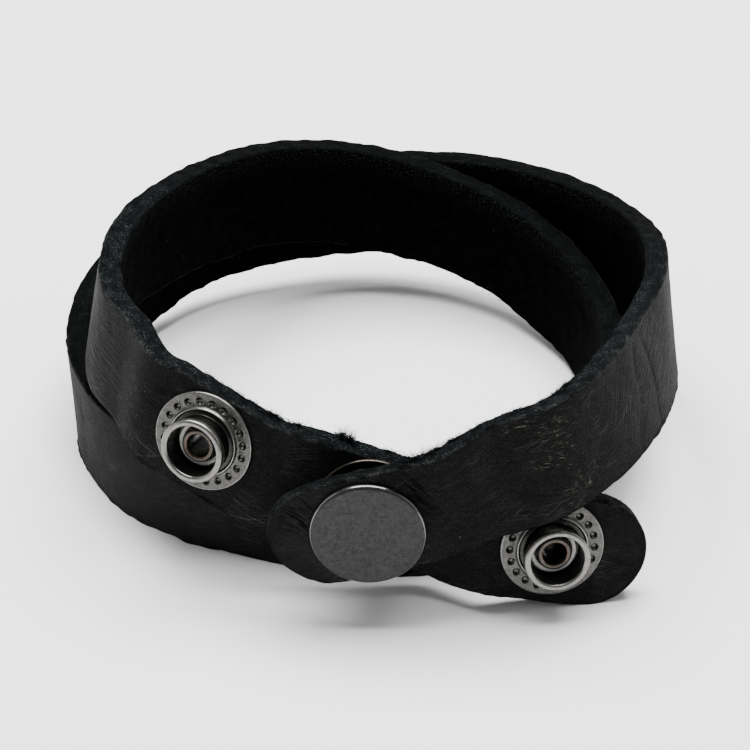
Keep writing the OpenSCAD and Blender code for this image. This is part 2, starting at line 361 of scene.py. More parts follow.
class Nodes:
    """A material's node tree, built a node at a time."""

    def __init__(self, name):
        self.material = bpy.data.materials.new(name)
        self.material.use_nodes = True
        self.tree = self.material.node_tree
        self.shader = self.tree.nodes["Principled BSDF"]

    def feed(self, socket, value):
        """Links the socket to another node's, or sets its value."""
        if isinstance(value, bpy.types.NodeSocket):
            self.tree.links.new(value, socket)
        else:
            socket.default_value = value

    def set(self, **values):
        """Feeds the shader's sockets."""
        for key, value in values.items():
            self.feed(self.shader.inputs[key.replace("_", " ")], value)

    def math(self, operation, a, b=0.0, clamp=False):
        node = self.tree.nodes.new("ShaderNodeMath")
        node.operation = operation
        node.use_clamp = clamp
        self.feed(node.inputs[0], a)
        self.feed(node.inputs[1], b)
        return node.outputs[0]

    def mapped(self, space, kind="POINT", **values):
        """A space through a mapping with these values."""
        mapping = self.tree.nodes.new("ShaderNodeMapping")
        mapping.vector_type = kind
        for key, value in values.items():
            mapping.inputs[key].default_value = value
        self.feed(mapping.inputs["Vector"], space)
        return mapping.outputs["Vector"]

    def strap_map(self):
        """The strap's own map: centimetres along it and round its section."""
        found = self.tree.nodes.new("ShaderNodeUVMap")
        found.uv_map = "strap"
        return found.outputs["UV"]

    def strap_space(self, stretch=(1, 1, 1)):
        """The strap's map, stretched."""
        return self.mapped(self.strap_map(), Scale=stretch)

    def across(self):
        """How far round the strap's section, in centimetres from the top of its outer face."""
        parts = self.tree.nodes.new("ShaderNodeSeparateXYZ")
        self.feed(parts.inputs[0], self.strap_space())
        return parts.outputs["Y"]

    def streaks(self, turn, length_cm, width_cm, wander=0.0):
        """Noise drawn out at an angle to the strap."""
        space = self.mapped(self.strap_map(), "TEXTURE", Rotation=(0, 0, radians(turn)),
                            Scale=(length_cm, width_cm, 1))
        if wander:
            space = self.bend(space, 0.35, wander)
        return self.noise(space, 1.0, 2)

    def oval(self, u, v, reach_u, reach_v):
        """1 in the middle of an oval of the strap's map, and 0 from its rim on."""
        space = self.mapped(self.strap_map(), "TEXTURE", Location=(u, v, 0),
                            Scale=(reach_u, reach_v, 1))
        length = self.tree.nodes.new("ShaderNodeVectorMath")
        length.operation = "LENGTH"
        self.feed(length.inputs[0], space)
        return self.span(length.outputs["Value"], 0.2, 1.0, 1.0, 0.0)

    def ovals(self, spots):
        """The greatest of these ovals."""
        return self.most([self.oval(*spot) for spot in spots])

    def hatching(self, spots, length_cm, width_cm, wander, low, high):
        """Streaks in these ovals, each at its own angle, sharpened between low and high."""
        found = []
        for *oval, turn in spots:
            lines = self.span(self.streaks(turn, length_cm, width_cm, wander), low, high)
            found.append(self.math("MULTIPLY", lines, self.oval(*oval)))
        return self.most(found)

    def most(self, values):
        """The greatest of several values."""
        found = values[0]
        for value in values[1:]:
            found = self.math("MAXIMUM", found, value)
        return found

    def part_space(self):
        """The piece's own coordinates, in centimetres."""
        found = self.tree.nodes.new("ShaderNodeTexCoord")
        return self.mapped(found.outputs["Object"], Scale=(100, 100, 100))

    def bend(self, space, scale, amount):
        """The space pushed about by noise, so that cells and lines don't run straight."""
        push = self.tree.nodes.new("ShaderNodeTexNoise")
        self.feed(push.inputs["Vector"], space)
        push.inputs["Scale"].default_value = scale
        push.inputs["Detail"].default_value = 2
        scaled = self.tree.nodes.new("ShaderNodeVectorMath")
        scaled.operation = "SCALE"
        self.feed(scaled.inputs[0], push.outputs["Color"])
        scaled.inputs["Scale"].default_value = amount
        moved = self.tree.nodes.new("ShaderNodeVectorMath")
        moved.operation = "ADD"
        self.feed(moved.inputs[0], space)
        self.feed(moved.inputs[1], scaled.outputs[0])
        return moved.outputs[0]

    def noise(self, space, scale, detail=3.0, roughness=0.55):
        node = self.tree.nodes.new("ShaderNodeTexNoise")
        self.feed(node.inputs["Vector"], space)
        node.inputs["Scale"].default_value = scale
        node.inputs["Detail"].default_value = detail
        node.inputs["Roughness"].default_value = roughness
        return node.outputs["Fac"]

    def cells(self, space, scale):
        """Distance from the borders of irregular cells."""
        node = self.tree.nodes.new("ShaderNodeTexVoronoi")
        node.feature = "DISTANCE_TO_EDGE"
        self.feed(node.inputs["Vector"], space)
        node.inputs["Scale"].default_value = scale
        return node.outputs["Distance"]

    def span(self, value, low, high, to_low=0.0, to_high=1.0):
        """The value's way from low to high, as a number from to_low to to_high."""
        node = self.tree.nodes.new("ShaderNodeMapRange")
        self.feed(node.inputs["Value"], value)
        node.inputs["From Min"].default_value = low
        node.inputs["From Max"].default_value = high
        node.inputs["To Min"].default_value = to_low
        node.inputs["To Max"].default_value = to_high
        return node.outputs["Result"]

    def blend(self, amount, a, b):
        """From colour a at 0 to colour b at 1."""
        node = self.tree.nodes.new("ShaderNodeMix")
        node.data_type = "RGBA"
        self.feed(node.inputs["Factor"], amount)
        for socket, value in zip([s for s in node.inputs if s.type == "RGBA"], (a, b)):
            self.feed(socket, value if isinstance(value, bpy.types.NodeSocket) else (*value, 1))
        return [s for s in node.outputs if s.type == "RGBA"][0]

    def bump(self, height, depth_mm, strength=1.0, under=None):
        """A normal bumped by a height, over another normal if there is one."""
        node = self.tree.nodes.new("ShaderNodeBump")
        node.inputs["Strength"].default_value = strength
        node.inputs["Distance"].default_value = depth_mm * MM
        self.feed(node.inputs["Height"], height)
        if under is not None:
            self.feed(node.inputs["Normal"], under)
        return node.outputs["Normal"]


def leather_face():
    """Black half-gloss grain: pebbles and pores, long creases, wrinkles and hatching. Painted shade
    darkens the creases and some patches; painted highlights and glints light the wrinkles, fine lines
    and hatching.
    """
    n = Nodes("leather_face")
    space = n.strap_space()
    cloud = n.noise(space, 1.4, 4)
    grain = n.span(n.cells(n.bend(space, 10, 0.05), 30), 0.0, 0.25)
    pores = n.noise(space, 62, 2, 0.7)
    folds = n.span(n.cells(n.bend(n.strap_space((1.0, 0.5, 1)), 3, 0.35), 3.4), 0.0, 0.03)
    lines = n.math("MINIMUM", n.span(n.streaks(-14, 0.3, 0.022, 3), 0.36, 0.44),
                   n.span(n.streaks(24, 0.24, 0.02, 3), 0.34, 0.42))
    lines = n.math("MAXIMUM", lines, n.span(cloud, 0.5, 0.58))
    # Creases that bump the face and carry painted shade
    creases = n.span(n.streaks(62, 0.34, 0.026, 3), 0.4, 0.5, 1.0, 0.0)
    creases = n.math("MULTIPLY", creases, n.ovals(CREASED_SPOTS))
    # Hatching that bumps the face and carries painted glints
    glint_hatch = n.hatching(GLINT_SPOTS, 0.07, 0.01, 1.5, 0.58, 0.66)
    glint_hatch = n.math("MULTIPLY", glint_hatch, n.span(n.noise(space, 16, 2), 0.45, 0.62))
    # Wrinkles that bump the face and carry a painted highlight
    wrinkles = n.hatching(WRINKLED_SPOTS, 0.45, 0.03, 2, 0.42, 0.6)
    specks = n.span(n.noise(space, 26, 1), 0.8, 0.82)
    mottle = n.math("ADD", n.span(pores, 0.3, 0.7, 0.0, 0.6), n.span(cloud, 0.3, 0.7, 0.0, 0.4))
    # Fine lines of painted glints
    pale = n.most([n.span(n.streaks(turn, 0.36, 0.013, 2.5), 0.6, 0.66) for turn in (-24, 9)])
    pale = n.math("MULTIPLY", pale, n.span(n.noise(space, 2.2, 2), 0.5, 0.62, 0.0, 0.45))

    colour = n.blend(mottle, GRAIN_LOW, GRAIN_HIGH)
    colour = n.blend(n.math("MULTIPLY", lines, grain), GRAIN_LINE, colour)
    # Painted shade on the shaded patches
    colour = n.blend(n.math("MULTIPLY", n.ovals(SHADED_SPOTS), 0.6), colour, GRAIN_SHADE)
    # Lighter patches
    colour = n.blend(n.math("MULTIPLY", n.ovals(LIGHTER_SPOTS), 0.34), colour, GRAIN_LIGHTER)
    # Painted glints along the fine lines
    colour = n.blend(pale, colour, GLINT_LINE)
    # Painted highlight on the wrinkles
    colour = n.blend(n.math("MULTIPLY", wrinkles, 0.25), colour, WRINKLE_HIGHLIGHT)
    # Painted glints of the hatching
    colour = n.blend(glint_hatch, colour, HATCH_GLINT)
    colour = n.blend(specks, colour, SPECK)
    # Painted shade in the creases
    colour = n.blend(creases, colour, CREASE_SHADE)
    rough = n.span(cloud, 0.3, 0.7, 0.4, 0.5)
    rough = n.math("ADD", rough, n.span(grain, 0.0, 1.0, 0.12, 0.0))
    normal = n.bump(folds, 0.04, 0.6)
    normal = n.bump(lines, 0.05, 0.7, normal)
    normal = n.bump(wrinkles, 0.13, 1.0, normal)
    normal = n.bump(n.math("SUBTRACT", 1.0, creases), 0.12, 1.0, normal)
    normal = n.bump(glint_hatch, 0.05, 0.6, normal)
    normal = n.bump(grain, 0.024, 0.8, normal)
    normal = n.bump(pores, 0.014, 0.8, normal)
    n.set(Base_Color=colour, Roughness=rough, Normal=normal)
    n.shader.inputs["Specular IOR Level"].default_value = 0.01
    return n.material


def leather_edge():
    """Cut edge: blue-grey threads and flecks over black, darker round the back, with painted shade on
    the bottom edge and a painted highlight line on the bevels beside the outer face."""
    n = Nodes("leather_edge")
    space = n.strap_space()
    v = n.across()
    spots = n.noise(space, 7, 4, 0.65)
    strands = n.noise(n.bend(n.strap_space((1.0, 3.0, 1)), 6, 0.2), 16, 5, 0.7)
    threads = n.span(n.streaks(4, 0.25, 0.016, 2), 0.46, 0.58, 0.1, 1.0)
    flecks = n.math("MAXIMUM", n.span(n.streaks(10, 0.035, 0.012), 0.57, 0.66),
                    n.span(n.streaks(-35, 0.026, 0.012), 0.58, 0.68))
    dots = n.span(n.noise(space, 50, 1), 0.58, 0.68, 0.0, 0.7)
    pale = n.math("ADD", dots, n.math("MULTIPLY", flecks, 0.45), clamp=True)
    pale = n.math("MULTIPLY", pale, n.span(spots, 0.43, 0.62, 0.1, 1.0))
    pale = n.math("MULTIPLY", pale, n.span(v, *LOW_EDGE, 0.1, 1.0))
    # The bevels beside the outer face, where a highlight is painted
    bevel = n.math("MAXIMUM", n.span(v, *TOP_BEVEL), n.span(v, *LOW_BEVEL, 0.0, 0.2))
    bevel = n.math("MULTIPLY", bevel, n.span(spots, 0.4, 0.65, 0.0, 0.5))

    shade = n.math("MULTIPLY", n.span(strands, 0.4, 0.7, 0.3, 1.0), threads)
    colour = n.blend(shade, EDGE_LOW, EDGE_HIGH)
    # Painted shade on the bottom edge
    colour = n.blend(n.span(v, *LOW_EDGE), EDGE_BOTTOM_SHADE, colour)
    colour = n.blend(pale, colour, n.blend(n.span(spots, 0.35, 0.65), BLUE_FLECK, GREY_FLECK))
    colour = n.blend(n.span(n.ovals(DARK_EDGES), 0.0, 0.35, 0.0, 0.75), colour, EDGE_DARK)
    # Painted highlight along the bevels
    colour = n.blend(bevel, colour, BEVEL_HIGHLIGHT)
    normal = n.bump(strands, 0.25, 1.0)
    normal = n.bump(flecks, 0.08, 0.9, normal)
    normal = n.bump(threads, 0.06, 0.9, normal)
    n.set(Base_Color=colour, Roughness=n.span(strands, 0.3, 0.7, 0.7, 0.95), Normal=normal)
    n.shader.inputs["Specular IOR Level"].default_value = 0.04
    return n.material


def fibre_matter():
    """Loose fibres of the cut edge."""
    n = Nodes("leather_fibre")
    shade = n.span(n.noise(n.part_space(), 14, 3), 0.52, 0.75)
    n.set(Base_Color=n.blend(shade, FIBRE_LOW, FIBRE_HIGH), Roughness=0.85)
    n.shader.inputs["Specular IOR Level"].default_value = 0.04
    return n.material


def leather_back():
    """Bare suede: nearly black nap with sparse lint, speckled below the top edge."""
    n = Nodes("leather_back")
    space = n.strap_space()
    nap = n.noise(n.bend(space, 8, 0.1), 26, 5, 0.7)
    tufts = n.noise(space, 7, 4, 0.6)
    lint = n.span(n.noise(space, 21, 2, 0.5), 0.75, 0.77)
    specks = n.span(n.noise(space, 40, 2, 0.6), 0.52, 0.72)
    specks = n.math("MULTIPLY", specks, n.span(n.across(), *TOP_NAP, 0.0, 0.7))
    colour = n.blend(n.span(tufts, 0.4, 0.72), SUEDE_LOW, SUEDE_HIGH)
    colour = n.blend(n.math("MULTIPLY", lint, 0.5), colour, LINT)
    colour = n.blend(specks, colour, NAP_SPECK)
    normal = n.bump(tufts, 0.15, 0.8)
    normal = n.bump(nap, 0.1, 0.9, normal)
    n.set(Base_Color=colour, Roughness=n.span(nap, 0.3, 0.7, 0.88, 1.0), Normal=normal)
    n.shader.inputs["Specular IOR Level"].default_value = 0.012
    return n.material


def metal(name, base, stain, roughness, grain=0.01, dust=0.0):
    """Satin plated metal: a mottle of base and stain, dulled specks, fine grain and some pale dust."""
    n = Nodes(name)
    space = n.part_space()
    cloud = n.noise(space, 3.5, 5, 0.6)
    fine = n.noise(space, 62, 2, 0.7)
    speck = n.noise(space, 30, 3, 0.65)
    soft = n.noise(space, 16, 4, 0.7)
    mottle = n.math("ADD", n.span(fine, 0.3, 0.7, 0.0, 0.55), n.span(soft, 0.3, 0.7, 0.0, 0.45))
    colour = n.blend(mottle, stain, base)
    colour = n.blend(n.span(speck, 0.56, 0.74, 0.0, 0.7), colour, stain)
    colour = n.blend(n.span(n.noise(space, 34, 2, 0.5), 0.7, 0.74, 0.0, dust), colour, PALE_DUST)
    rough = n.math("ADD", n.span(cloud, 0.3, 0.7, roughness - 0.03, roughness + 0.03),
                   n.span(speck, 0.3, 0.8, -0.05, 0.08))
    normal = n.bump(fine, grain, 0.7)
    n.set(Base_Color=colour, Metallic=1.0, Roughness=rough, Normal=normal)
    return n.material


# Meshes

FILLET_STEPS = 5


def mesh_object(name, points, faces, smooth=True):
    """A new object of these points, in metres, and faces."""
    mesh = bpy.data.meshes.new(name)
    mesh.from_pydata(points.tolist(), [], faces)
    if smooth:
        mesh.shade_smooth()
    piece = bpy.data.objects.new(name, mesh)
    bpy.context.scene.collection.objects.link(piece)
    return piece


def fillet(corners):
    """A closed outline whose corners (x, y, radius) are rounded."""
    outline = []
    count = len(corners)
    for i, (x, y, radius) in enumerate(corners):
        corner = np.array([x, y])
        if radius == 0:
            outline.append(corner)
            continue
        back = np.array(corners[i - 1][:2]) - corner
        ahead = np.array(corners[(i + 1) % count][:2]) - corner
        reach = min(radius, 0.48 * np.linalg.norm(back), 0.48 * np.linalg.norm(ahead))
        start = corner + unit(back) * reach
        end = corner + unit(ahead) * reach
        for k in range(FILLET_STEPS + 1):
            t = k / FILLET_STEPS
            outline.append(start * (1 - t) ** 2 + corner * 2 * t * (1 - t) + end * t**2)
    return np.array(outline)


def dense(outline, longest, closed=True):
    """The outline with no step longer than this."""
    steps = list(zip(outline, np.roll(outline, -1, axis=0)))
    points = []
    for a, b in steps if closed else steps[:-1]:
        n = max(1, int(np.ceil(np.linalg.norm(b - a) / longest)))
        points += [a + (b - a) * k / n for k in range(n)]
    return np.array(points if closed else points + [outline[-1]])


def turned(name, flat, outline, segments, shape=None, kinds=None, solid=False):
    """An outline (r, z) turned round the snap's axis. Shape moves (r, angle, z) before it is placed,
    and kinds gives the material of a face at (r, angle, z). A solid one is closed by a face at each
    end of its outline; any other outline closes on itself."""
    angles = np.linspace(0, 2 * pi, segments, endpoint=False)
    r = np.repeat(outline[:, 0][None, :], segments, axis=0)
    z = np.repeat(outline[:, 1][None, :], segments, axis=0)
    a = np.repeat(angles[:, None], len(outline), axis=1)
    if shape:
        r, z = shape(r, a, z)
    points = flat.point(
        (r * np.cos(a))[..., None], (r * np.sin(a))[..., None], z[..., None]).reshape(-1, 3)
    count = len(outline)
    faces = []
    for i in range(segments):
        j = (i + 1) % segments
        for k in range(count - 1 if solid else count):
            m = (k + 1) % count
            faces.append((i * count + k, j * count + k, j * count + m, i * count + m))
    if solid:
        faces.append(tuple(i * count for i in range(segments - 1, -1, -1)))
        faces.append(tuple(i * count + count - 1 for i in range(segments)))
    piece = mesh_object(name, points, faces)
    if kinds:
        r_mid = (r + np.roll(r, -1, axis=1)) / 2
        z_mid = (z + np.roll(z, -1, axis=1)) / 2
        found = kinds(r_mid, a + pi / segments, z_mid)
        if solid:
            found = found[:, :-1]
        ends = np.zeros(len(faces) - found.size)
        piece.data.polygons.foreach_set("material_index", np.append(found, ends).astype(np.int32))
    return piece


# Leather strap

STATION_STEP = 0.36
TIP_STATIONS = 22
EDGE_ROUND = 0.28
FACE_POINTS = 28
BACK_POINTS = 18
EDGE_POINTS = 7
CORNER_POINTS = 4
HOLE_SEGMENTS = 48
OUTER, EDGE, INNER = 0, 1, 2
LOWEST = 0.02

# Millimetres along the strap over which its bottom edge turns ragged, and plain again
LOW_RAGGED = (60, 75)
LOW_PLAIN = (330, 345)


class Profile:
    """The strap's section. Each point has the middle of its corner, as parts of the half sizes, and a
    direction out of that corner."""

    def __init__(self):
        self.points = []
        self.sides = []
        face = np.linspace(1, -1, FACE_POINTS)
        back = np.linspace(-1, 1, BACK_POINTS)
        edge = np.linspace(1, -1, EDGE_POINTS)
        self.line([(1, w, 1, 0) for w in face], OUTER)
        self.corner(1, -1, 0)
        self.line([(n, -1, 0, -1) for n in edge], EDGE)
        self.corner(-1, -1, 1)
        self.line([(-1, w, -1, 0) for w in back], INNER)
        self.corner(-1, 1, 2)
        self.line([(-n, 1, 0, 1) for n in edge], EDGE)
        self.corner(1, 1, 3)
        self.centre_n, self.centre_w, self.arc_n, self.arc_w = np.array(self.points).T

    def line(self, points, side):
        """Points along one side."""
        self.points += points
        self.sides += [side] * len(points)

    def corner(self, n, w, quarter):
        """Points round one corner."""
        for k in range(1, CORNER_POINTS + 1):
            a = (quarter + k / (CORNER_POINTS + 1)) * pi / 2
            self.points.append((n, w, cos(a), -sin(a)))
            self.sides.append(EDGE)

    def place(self, half_t, half_w):
        """Where the points lie out of and up the face, at each half thickness and half width."""
        round_r = np.minimum(EDGE_ROUND, half_w * 0.9)[:, None]
        n = self.centre_n * (half_t[:, None] - round_r) + self.arc_n * round_r
        w = self.centre_w * (half_w[:, None] - round_r) + self.arc_w * round_r
        return n, w


def strap_stations(rows):
    """Distance, point, axes, half thickness and half width of each cross-section, and the points and
    distances of the path that they lie on."""
    path = dense_path(rows)
    steps = np.linalg.norm(np.diff(path[:, :3], axis=0), axis=1)
    distance = np.concatenate([[0], np.cumsum(steps)])
    total = distance[-1]
    half = STRAP_W / 2
    tip = half * (1 - np.cos(np.linspace(radians(5), pi / 2, TIP_STATIONS)))[:-1]
    body = np.linspace(half, total - half, int((total - STRAP_W) / STATION_STEP))
    at = np.concatenate([tip, body, (total - tip)[::-1]])
    found = np.stack([np.interp(at, distance, column) for column in path.T], axis=1)
    from_tip = np.minimum(np.minimum(at, total - at), half)
    half_w = np.sqrt(half**2 - (half - from_tip) ** 2)
    axes = face_axes(found[:, 3:6], found[:, 6])
    return at, found[:, :3], axes, found[:, 7] / 2, half_w, path[:, :3], distance


def snap_distance(flats, path_points, distance):
    """How far along the strap each flat's middle lies."""
    found = {}
    for name, flat in flats.items():
        nearest = np.argmin(np.linalg.norm(path_points - flat.middle, axis=1))
        found[name] = distance[nearest]
    return found


def strap_relief(at, n, w, sides, flats, snaps):
    """How far each point stands out of the plain strap: creases and dents round the snaps on the outer
    face, bumps on the back and a ragged cut edge."""
    s = np.broadcast_to(at[:, None], w.shape)
    calm = np.ones_like(w)
    rays = np.zeros_like(w)
    for name, flat in flats.items():
        ds = s - snaps[name]
        dw = w - flat.rise
        r = np.hypot(ds, dw)
        near = CAP_R if name == "cap" else FLANGE_R
        calm *= ramp(near + 0.2, near + 1.6, r)
        turn = np.arctan2(dw, ds) * 3.4
        fade = ramp(near + 0.3, near + 0.8, r) * (1 - ramp(near + 1.5, near + 4.5, r))
        rays -= ridge(turn, r / 14, 31) * fade * (0.14 if name == "cap" else 0.07)

    drift = s + 1.3 * noise(s / 6, w / 5, 11)
    patches = ramp(-0.25, 0.5, noise(s / 16, w / 12, 12))
    outer = 0.07 * noise(s / 10, w / 16, 1) + 0.04 * noise(s / 3.4, w / 6, 2)
    outer -= 0.09 * ridge(drift / 4.2, w / 9, 3) * patches
    outer -= 0.05 * ridge((drift + 0.5 * w) / 2.3, w / 4, 4) * patches
    outer += 0.02 * noise(s / 0.9, w / 0.9, 5)
    inner = 0.07 * noise(s / 1.5, w / 1.3, 6) + 0.05 * noise(s / 0.8, w / 0.7, 7)
    cut = 0.07 * noise(s / 5, n / 4, 8) + 0.09 * noise(s / 1.3, n / 0.9, 9)
    cut += 0.05 * noise(s / 0.75, n / 0.6, 10)
    low = (w < 0) * ramp(*LOW_RAGGED, s) * (1 - ramp(*LOW_PLAIN, s))
    cut += low * (0.22 * noise(s / 2.3, n / 6, 13) + 0.12 * noise(s / 0.9, n / 3, 14))
    return np.where(sides == OUTER, outer * calm + rays, np.where(sides == INNER, inner * calm, cut))


def make_strap(flats):
    """The whole strap as one closed mesh, with a material for each side."""
    rows = path_rows(flats)
    at, middle, (_, up, out), half_t, half_w, path_points, distance = strap_stations(rows)
    profile = Profile()
    sides = np.array(profile.sides)[None, :]
    n, w = profile.place(half_t, half_w)
    snaps = snap_distance(flats, path_points, distance)
    relief = strap_relief(at, n, w, sides, flats, snaps)
    n = n + relief * profile.arc_n
    w = w + relief * profile.arc_w
    points = middle[:, None] + out[:, None] * n[..., None] + up[:, None] * w[..., None]
    points[..., 2] = np.maximum(points[..., 2], LOWEST)
    rings, count = n.shape
    faces = []
    kinds = []
    for i in range(rings - 1):
        for k in range(count):
            m = (k + 1) % count
            a = i * count
            faces.append((a + k, a + m, a + count + m, a + count + k))
            kinds.append(profile.sides[k])
    faces.append(tuple(range(count - 1, -1, -1)))
    faces.append(tuple((rings - 1) * count + k for k in range(count)))
    kinds += [EDGE, EDGE]
    piece = mesh_object("strap_leather", points.reshape(-1, 3) * MM, faces)
    piece.data.polygons.foreach_set("material_index", kinds)
    add_strap_map(piece.data, at, profile, rings, count)
    return piece


def add_strap_map(mesh, at, profile, rings, count):
    """A map in centimetres: along the strap, and round its section."""
    n, w = profile.place(np.array([STRAP_T / 2]), np.array([STRAP_W / 2]))
    ring = np.stack([n[0], w[0]], axis=1)
    steps = np.linalg.norm(np.diff(ring, axis=0, append=ring[:1]), axis=1)
    around = np.concatenate([[0], np.cumsum(steps)]) / 10
    i = np.repeat(np.arange(rings - 1), count)
    k = np.tile(np.arange(count), rings - 1)
    u = np.stack([at[i], at[i], at[i + 1], at[i + 1]], axis=1) / 10
    v = np.stack([around[k], around[k + 1], around[k + 1], around[k]], axis=1)
    body = np.stack([u.ravel(), v.ravel()], axis=1)
    caps = np.zeros((2 * count, 2))
    layer = mesh.uv_layers.new(name="strap")
    layer.data.foreach_set("uv", np.vstack([body, caps]).ravel())


def cut_holes(strap, flats):
    """Cuts the snaps' holes, and applies the cut."""
    cutters = []
    for name, flat in flats.items():
        outline = np.array([[HOLE_R, -flat.thick - 1], [HOLE_R, 1]])
        cutter = turned(f"hole_{name}", flat, outline, HOLE_SEGMENTS, solid=True)
        cutters.append(cutter)
        cut = strap.modifiers.new(f"hole_{name}", "BOOLEAN")
        cut.operation = "DIFFERENCE"
        cut.solver = "EXACT"
        cut.object = cutter
    held = bpy.context.evaluated_depsgraph_get()
    mesh = bpy.data.meshes.new_from_object(strap.evaluated_get(held))
    strap.modifiers.clear()
    strap.data = mesh
    for cutter in cutters:
        bpy.data.objects.remove(cutter)


flats = {name: stud_flat(row) for name, row in STUD_ROWS.items()}
flats["cap"] = cap_flat(flats["middle"])
strap = make_strap(flats)
for material in (leather_face(), leather_edge(), leather_back()):
    strap.data.materials.append(material)
cut_holes(strap, flats)
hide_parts("strap")
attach(strap, "root")


# Loose fibres along the cut edges

FIBRES = 9000
TUFT_SHARE = 0.24
RAGGED_SHARE = 0.2
FIBRE_R = 0.028
FIBRE_RINGS = 4
FIBRE_SIDES = 3

# Distance along the strap and reach of each tuft on the top edge
TUFTS = (
    (393, 1.2), (401.2, 2.2), (401.9, 2.4), (401.5, 2.0), (397.3, 1.0), (406.5, 1.0),
    (17.2, 1.5), (18.6, 1.7), (20.2, 1.5), (22, 1.1), (30, 0.8), (36, 0.8),
)

# Two stretches of the top edge, by distance along the strap, that have more fibres than the rest
RAGGED = ((384, 414), (22, 50))


def fibre_roots(chance, total):
    """Distance along the strap, edge (1 is the top), place across its thickness, length and curl
    of each fibre."""
    tuft_end = int(FIBRES * TUFT_SHARE)
    ragged = slice(tuft_end, int(FIBRES * (TUFT_SHARE + RAGGED_SHARE)))
    s = chance.uniform(2, total - 2, FIBRES)
    growth = 0.35 + 0.65 * ramp(-0.3, 0.6, noise(s / 4, 0.5, 21))
    edge = np.where(chance.random(FIBRES) < 0.65, 1.0, -1.0)
    across = chance.uniform(-1, 1, FIBRES)
    across = np.where(chance.random(FIBRES) < 0.35, -1 + 0.3 * chance.random(FIBRES), across)
    length = np.minimum(chance.gamma(2.4, 0.15, FIBRES) * growth, 1.5)
    curl = np.zeros(FIBRES)
    for start, (middle, reach) in enumerate(TUFTS):
        part = slice(start, tuft_end, len(TUFTS))
        count = len(s[part])
        s[part] = chance.normal(middle, 0.45, count)
        edge[part] = 1
        across[part] = chance.uniform(-1, -0.2, count)
        length[part] = chance.uniform(0.3, 1, count) * reach
        curl[part] = 1
    count = (ragged.stop - ragged.start) // len(RAGGED)
    s[ragged] = np.concatenate([chance.uniform(start, end, count) for start, end in RAGGED])
    edge[ragged] = 1
    return np.clip(s, 1, total - 1), edge, across, np.maximum(length, 0.15), curl[:, None, None]


def make_fibres(flats):
    """Fibres rooted in the cut edges, as one mesh of thin bent cones."""
    at, middle, (along, up, out), half_t, half_w, _, _ = strap_stations(path_rows(flats))
    chance = np.random.default_rng(11)
    s, edge, across, length, curl = fibre_roots(chance, at[-1])
    columns = np.concatenate([middle, along, up, out, half_t[:, None], half_w[:, None]], axis=1)
    here = np.stack([np.interp(s, at, column) for column in columns.T], axis=1)
    p, t, w, n = here[:, :3], here[:, 3:6], here[:, 6:9], here[:, 9:12]
    root = p + n * (across * here[:, 12] * 0.95)[:, None] + w * (edge * (here[:, 13] - 0.04))[:, None]
    lift = unit(w * edge[:, None] * chance.uniform(0.1, 0.7, (FIBRES, 1)) + n * across[:, None] * 0.3
                + t * chance.normal(0, 0.9, (FIBRES, 1)) + n * chance.normal(0, 0.4, (FIBRES, 1)))
    sway = unit(chance.normal(0, 1, (FIBRES, 3)))
    k = np.linspace(0, 1, FIBRE_RINGS)[None, :, None]
    reach = length[:, None, None]
    rise = (k - 0.75 * curl * k**2) * reach
    spine = root[:, None] + lift[:, None] * rise + sway[:, None] * k**2 * reach * (0.45 + 0.3 * curl)
    side_a = unit(np.cross(lift, sway))
    side_b = np.cross(lift, side_a)
    turn = np.arange(FIBRE_SIDES) * 2 * pi / FIBRE_SIDES
    ring = side_a[:, None] * np.cos(turn)[None, :, None] + side_b[:, None] * np.sin(turn)[None, :, None]
    taper = (FIBRE_R * (1 - 0.75 * k))[..., None]
    points = spine[:, :, None] + ring[:, None] * taper
    points[..., 2] = np.maximum(points[..., 2], LOWEST + 0.01)
    each = FIBRE_RINGS * FIBRE_SIDES
    faces = []
    for base in range(0, FIBRES * each, each):
        for row in range(base, base + each - FIBRE_SIDES, FIBRE_SIDES):
            for m in range(FIBRE_SIDES):
                a = row + m
                b = row + (m + 1) % FIBRE_SIDES
                faces.append((a, b, b + FIBRE_SIDES, a + FIBRE_SIDES))
        tip = base + each - FIBRE_SIDES
        faces.append(tuple(base + m for m in reversed(range(FIBRE_SIDES))))
        faces.append(tuple(tip + m for m in range(FIBRE_SIDES)))
    return mesh_object("edge_fibres", points.reshape(-1, 3) * MM, faces)


fibres = make_fibres(flats)
fibres.data.materials.append(fibre_matter())
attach(fibres, "root")


# Snaps

SEGMENTS = 240
PLAIN_SEGMENTS = 160
COLLAR_IN = 3.72
DIMPLES = 20
DIMPLE_RING_R = 4.6
DIMPLE_R = 0.42
DIMPLE_DEPTH = 0.3


def dimple_offset(r, a):
    """How far along and up the strap a point lies from the middle of the nearest dimple."""
    pitch = 2 * pi / DIMPLES
    nearest = (np.round(a / pitch - 0.5) + 0.5) * pitch
    x = r * np.cos(a) - DIMPLE_RING_R * np.cos(nearest)
    y = r * np.sin(a) - DIMPLE_RING_R * np.sin(nearest)
    return x, y


def dimple_shape(r, a, z):
    """Round dimples pressed into the flange's face, each with a faint raised lip."""
    d = np.hypot(*dimple_offset(r, a))
    on_face = (z > FLANGE_T * 0.7) & (r > NECK_R + COLLAR_W)
    dent = -DIMPLE_DEPTH * (1 - ramp(DIMPLE_R * 0.5, DIMPLE_R, d))
    lip = 0.035 * np.exp(-((d - DIMPLE_R * 1.2) / 0.07) ** 2)
    return r, z + np.where(on_face, dent + lip, 0)


# Places of the materials on a stud, an eyelet and the cap
PLAIN, DARK, WORN_AND_LIT, DULL = 0, 1, 2, 3
CREST = 1


